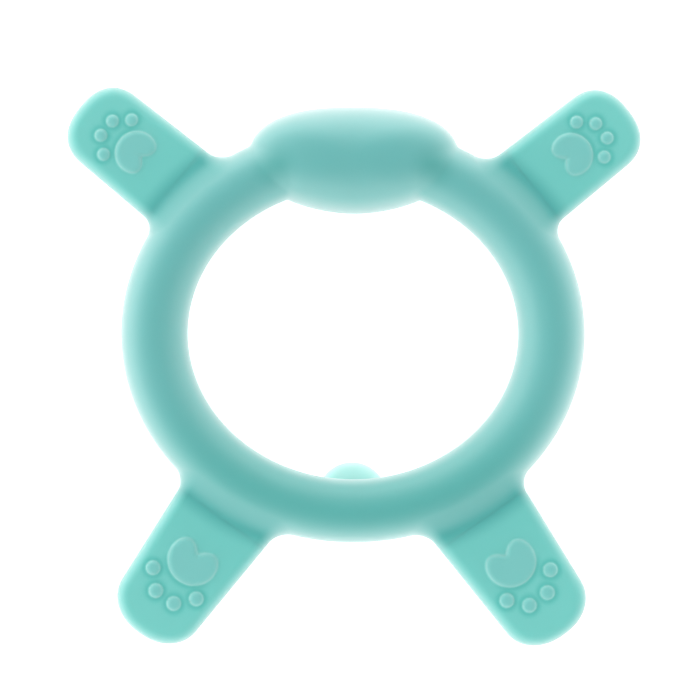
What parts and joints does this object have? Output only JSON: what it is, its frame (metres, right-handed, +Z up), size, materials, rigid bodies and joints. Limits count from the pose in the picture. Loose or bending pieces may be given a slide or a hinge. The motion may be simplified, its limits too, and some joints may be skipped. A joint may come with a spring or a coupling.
{
  "type": "teething ring",
  "caption": "Soft silicone teething ring: an oval grip tube with a thick chewing head, a small tail and flat flexible legs with raised paw prints.",
  "frame": {"origin": "centre of the footprint, at the height of the flats that the ring rests on", "axes": "+X to the right seen from the paw-print side, +Y towards the head, +Z up out of the paw-print side"},
  "size_m": [0.1002, 0.0972, 0.0215],
  "materials": {
    "silicone_ring": "matte translucent",
    "silicone_head": "matte translucent",
    "silicone_tail": "matte translucent",
    "silicone_leg": "matte translucent",
    "silicone_pad": "matte translucent"
  },
  "bodies": {
    "ring_body": {"ring": "silicone_ring", "head": "silicone_head", "tail": "silicone_tail"},
    "front_left_leg_body": {"front_left_leg": "silicone_leg", "front_left_heel_pad": "silicone_pad", "front_left_toe_1": "silicone_pad", "front_left_toe_2": "silicone_pad", "front_left_toe_3": "silicone_pad", "front_left_toe_4": "silicone_pad"},
    "front_right_leg_body": {"front_right_leg": "silicone_leg", "front_right_heel_pad": "silicone_pad", "front_right_toe_1": "silicone_pad", "front_right_toe_2": "silicone_pad", "front_right_toe_3": "silicone_pad", "front_right_toe_4": "silicone_pad"},
    "rear_left_leg_body": {"rear_left_leg": "silicone_leg", "rear_left_heel_pad": "silicone_pad", "rear_left_toe_1": "silicone_pad", "rear_left_toe_2": "silicone_pad", "rear_left_toe_3": "silicone_pad", "rear_left_toe_4": "silicone_pad"},
    "rear_right_leg_body": {"rear_right_leg": "silicone_leg", "rear_right_heel_pad": "silicone_pad", "rear_right_toe_1": "silicone_pad", "rear_right_toe_2": "silicone_pad", "rear_right_toe_3": "silicone_pad", "rear_right_toe_4": "silicone_pad"}
  },
  "joints": [
    {"name": "front_left_leg_flex", "type": "hinge", "parent": "ring_body", "child": "front_left_leg_body", "pos_m": [-0.03378, 0.03383, 0.014], "axis": [0.6266, 0.7793, 0], "range_deg": [-35, 35], "stiffness_Nm_per_rad": 0.029},
    {"name": "front_right_leg_flex", "type": "hinge", "parent": "ring_body", "child": "front_right_leg_body", "pos_m": [0.03378, 0.03383, 0.014], "axis": [0.6266, -0.7793, 0], "range_deg": [-35, 35], "stiffness_Nm_per_rad": 0.029},
    {"name": "rear_left_leg_flex", "type": "hinge", "parent": "ring_body", "child": "rear_left_leg_body", "pos_m": [-0.0247, -0.02929, 0.014], "axis": [-0.8141, 0.5807, 0], "range_deg": [-35, 35], "stiffness_Nm_per_rad": 0.029},
    {"name": "rear_right_leg_flex", "type": "hinge", "parent": "ring_body", "child": "rear_right_leg_body", "pos_m": [0.0247, -0.02929, 0.014], "axis": [-0.8141, -0.5807, 0], "range_deg": [-35, 35], "stiffness_Nm_per_rad": 0.029}
  ]
}
